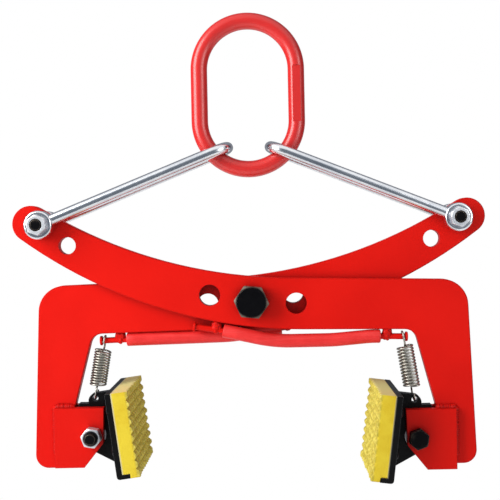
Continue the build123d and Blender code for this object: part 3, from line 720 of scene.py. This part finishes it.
spring_steel, wire = finish("spring_wire")
wire_cloud = wire.noise(300.0, 4.0, 0.6)
wire_stain = wire.noise(90.0, 4.0).between(0.5, 0.75)
wire_tint = mixed(wire_cloud, WIRE_DARK, WIRE_PALE)
surface(
    wire,
    height=wire_cloud,
    depth=0.00015,
    normal=None,
    Base_Color=mixed(wire_stain * 0.5, wire_tint, WIRE_OIL),
    Metallic=1.0,
    Roughness=(wire_cloud * 0.15 + wire_stain * 0.1 + 0.28),
)


def jaw_spring(name, node, lug, turn):
    upward = (rod_hook_at - lug).normalized()
    span = (rod_hook_at - lug).length
    sideways = Vector((upward.z, 0.0, -upward.x))
    lay = Matrix((sideways, (0.0, 1.0, 0.0), upward)).transposed().to_4x4()
    stand = turn @ Matrix.Translation(rod_hook_at) @ lay
    coil_top = -SPRING_SHANK
    coil_low = SPRING_TAIL - span
    low_middle = HOOK_SAG - span
    side = Vector((1.0, 0.0, 0.0))
    stem = Vector((0.0, 0.0, 1.0))
    mesh = bmesh.new()
    start = Matrix.Translation((0.0, ROD_HOOK, -2 * SPRING_WIRE))
    bmesh.ops.create_circle(mesh, segments=WIRE_SIDES, radius=SPRING_WIRE, matrix=start)
    rim = drawn(mesh, mesh.edges[:], (0.0, 0.0, 2 * SPRING_WIRE))
    rim = bent(mesh, rim, (0.0, 0.0, 0.0), side, math.pi, HOOK_STEPS)
    rod_bend = (0.0, 0.0, coil_top + ROD_HOOK)
    rim = drawn(mesh, rim, rod_bend)
    rim = bent(mesh, rim, rod_bend, side, math.pi / 2, CORNER_STEPS)
    top_start = (SPRING_COIL / 2, 0.0, coil_top)
    rim = bent(mesh, rim, top_start, stem, -math.pi, HOOK_STEPS)
    fall = (0.0, 0.0, (coil_low - coil_top) / SPRING_TURNS / TURN_STEPS)
    winding = -2 * math.pi * SPRING_TURNS
    coil_start = (0.0, 0.0, coil_top)
    rim = bent(mesh, rim, coil_start, stem, winding, TURN_STEPS * SPRING_TURNS, fall)
    coil_end = (SPRING_COIL / 2, 0.0, coil_low)
    rim = bent(mesh, rim, coil_end, stem, -math.pi, HOOK_STEPS)
    lug_bend = (0.0, 0.0, coil_low - LUG_HOOK)
    rim = bent(mesh, rim, lug_bend, side, -math.pi / 2, CORNER_STEPS)
    rim = drawn(mesh, rim, (0.0, 0.0, low_middle - coil_low + LUG_HOOK))
    rim = bent(mesh, rim, (0.0, 0.0, low_middle), side, -math.pi, HOOK_STEPS)
    drawn(mesh, rim, (0.0, 0.0, 2 * SPRING_WIRE))
    bmesh.ops.holes_fill(mesh, edges=mesh.edges)
    bmesh.ops.transform(mesh, matrix=stand, verts=mesh.verts)
    spring = made_piece(name, mesh, spring_steel)
    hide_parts(node)
    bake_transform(spring)


raised_lug = lug_hook_at + Vector((0.0, 0.0, LEFT_LIFT))
jaw_spring("right_coil", "right_spring", lug_hook_at, FRONT)
jaw_spring("left_coil", "left_spring", raised_lug, HALF_TURN)


# Studio: pale floor below the hanging clamp, white surround, a large soft lamp from the upper left
# and a weak one from the right. A strip lamp and cards round the clamp only show as bands in metal
# and paint, and the camera looks square at the front.
scene = bpy.context.scene
scene.view_settings.view_transform = "Standard"
world = bpy.data.worlds.new("studio")
scene.world = world
world.use_nodes = True
world.node_tree.nodes.clear()
sky = Tone(world.node_tree)


def seen_ray(tone):
    camera_ray = tone.node("LightPath", {}, {}, "Is Camera Ray")
    glossy_ray = tone.node("LightPath", {}, {}, "Is Glossy Ray")
    through_ray = tone.node("LightPath", {}, {}, "Is Transmission Ray")
    return (camera_ray + glossy_ray + through_ray).between(0.0, 1.0)


WHITE = (1.0, 1.0, 1.0, 1.0)
SURROUND = 0.42
level = seen_ray(sky) * (1.0 - SURROUND) + SURROUND
backdrop = sky.node("Background", {}, {"Color": WHITE, "Strength": level})
sky.node("OutputWorld", {}, {"Surface": backdrop})

PAPER_DARK = (0.86, 0.86, 0.86, 1.0)
PAPER_PALE = (0.90, 0.90, 0.90, 1.0)
PAPER_FADE = (0.28, 0.46)
FLOOR_SIZE = 6.0
FLOOR_Z = -0.70
floor_mesh = bmesh.new()
bmesh.ops.create_grid(floor_mesh, x_segments=2, y_segments=2, size=FLOOR_SIZE)
bmesh.ops.translate(floor_mesh, verts=floor_mesh.verts, vec=(0.0, 0.0, FLOOR_Z))
floor_data = bpy.data.meshes.new("studio_floor")
floor_mesh.to_mesh(floor_data)
floor_mesh.free()
floor = bpy.data.objects.new("studio_floor", floor_data)
scene.collection.objects.link(floor)
floor_paper, paper = finish("floor_paper")
flat_place = paper.stretched((1.0, 1.0, 0.0))
reach = paper.node("VectorMath", {"operation": "LENGTH"}, {0: flat_place}, "Value")
fade = reach.between(*PAPER_FADE) * seen_ray(paper)
paper_tint = mixed(paper.noise(30.0, 4.0), PAPER_DARK, PAPER_PALE)
matt = paper.node("BsdfDiffuse", {}, {"Color": paper_tint})
white = paper.node("Emission", {}, {"Color": WHITE, "Strength": 1.0})
sheet = paper.node("MixShader", {}, {0: fade, 1: matt, 2: white})
paper.node("OutputMaterial", {}, {"Surface": sheet})
floor_data.materials.append(floor_paper)


def glossy_card(name, place, size, dark, light, low, high, lean=0.0, turn=0.0):
    """A card that only reflections show, dark from low to high and light below and above."""
    mesh = bmesh.new()
    bmesh.ops.create_grid(mesh, x_segments=1, y_segments=1, size=0.5)
    bmesh.ops.scale(mesh, vec=(*size, 1.0), verts=mesh.verts)
    tilt = Matrix.Rotation(turn, 4, "Z") @ Matrix.Rotation(lean, 4, "X")
    bmesh.ops.transform(mesh, matrix=Matrix.Translation(place) @ tilt, verts=mesh.verts)
    data = bpy.data.meshes.new(name)
    mesh.to_mesh(data)
    mesh.free()
    card = bpy.data.objects.new(name, data)
    scene.collection.objects.link(card)
    card.visible_camera = False
    card.visible_diffuse = False
    card.visible_shadow = False
    material, spot = finish(name)
    rise = spot.part("Z")
    middle = rise.between(*low) * rise.between(*high, 1.0, 0.0)
    glow = spot.node("Emission", {}, {"Color": mixed(middle, light, dark), "Strength": 1.0})
    spot.node("OutputMaterial", {}, {"Surface": glow})
    data.materials.append(material)


UPRIGHT = math.radians(90)
CARD_DARK = (0.15, 0.17, 0.20, 1.0)
CARD_LIGHT = (0.50, 0.53, 0.58, 1.0)
REAR_GREY = (0.26, 0.27, 0.30, 1.0)
FLAG_GREY = (0.06, 0.06, 0.07, 1.0)
banded = {"dark": CARD_DARK, "light": CARD_LIGHT, "low": (-0.9, -0.8)}
rear_grey = {"dark": REAR_GREY, "light": REAR_GREY, "low": (-1.3, -1.2), "high": (1.2, 1.3)}
flag_grey = {**rear_grey, "dark": FLAG_GREY, "light": FLAG_GREY}
front_band = {**banded, "high": (0.35, 0.95)}
floor_band = {**banded, "high": (0.1, 0.2)}
glossy_card("front_card", (0.05, -1.60, 0.20), (3.0, 1.64), **front_band, lean=UPRIGHT)
glossy_card("floor_card", (0.05, -1.10, -0.61), (3.0, 1.0), **floor_band)
glossy_card("rear_card", (0.0, 1.30, 0.0), (3.4, 2.4), **rear_grey, lean=UPRIGHT)
glossy_card("roof_card", (0.0, 0.70, 1.20), (3.4, 1.2), **rear_grey)
for name, x in (("left_flag", -1.6), ("right_flag", 1.6)):
    glossy_card(name, (x, 0.45, 0.0), (1.7, 2.4), **flag_grey, lean=UPRIGHT, turn=UPRIGHT)


def soft_lamp(name, place, aim, size, power):
    lamp_data = bpy.data.lights.new(name, "AREA")
    lamp_data.shape = "RECTANGLE"
    lamp_data.size, lamp_data.size_y = size
    lamp_data.energy = power
    lamp = bpy.data.objects.new(name, lamp_data)
    lamp.location = place
    lamp.rotation_euler = (Vector(aim) - Vector(place)).to_track_quat("-Z", "Y").to_euler()
    scene.collection.objects.link(lamp)
    return lamp


LEFT_AIM = (-0.05, 0.0, -0.28)
RIGHT_AIM = (0.05, 0.0, -0.28)
soft_lamp("key_lamp", (-1.30, -0.82, 0.30), LEFT_AIM, size=(0.9, 1.4), power=27.0)
soft_lamp("fill_lamp", (0.80, -1.10, 0.05), RIGHT_AIM, size=(0.4, 0.7), power=1.0)
strip_at = (1.15, -0.95, 0.05)
side_strip = soft_lamp("side_strip", strip_at, RIGHT_AIM, size=(0.4, 0.9), power=4.5)
side_strip.visible_diffuse = False

camera_data = bpy.data.cameras.new("camera")
camera_data.sensor_width = 36.0
camera_data.lens = 61.2
camera_data.shift_x = -0.041
camera_data.shift_y = -0.0422
camera = bpy.data.objects.new("camera", camera_data)
CAMERA_ROLL = math.radians(-1.15)
camera_at = (0.020, -0.85, PIVOT.z + 0.071)
camera.matrix_world = (
    Matrix.Translation(camera_at)
    @ Matrix.Rotation(UPRIGHT, 4, "X")
    @ Matrix.Rotation(CAMERA_ROLL, 4, "Z")
)
scene.collection.objects.link(camera)
scene.camera = camera
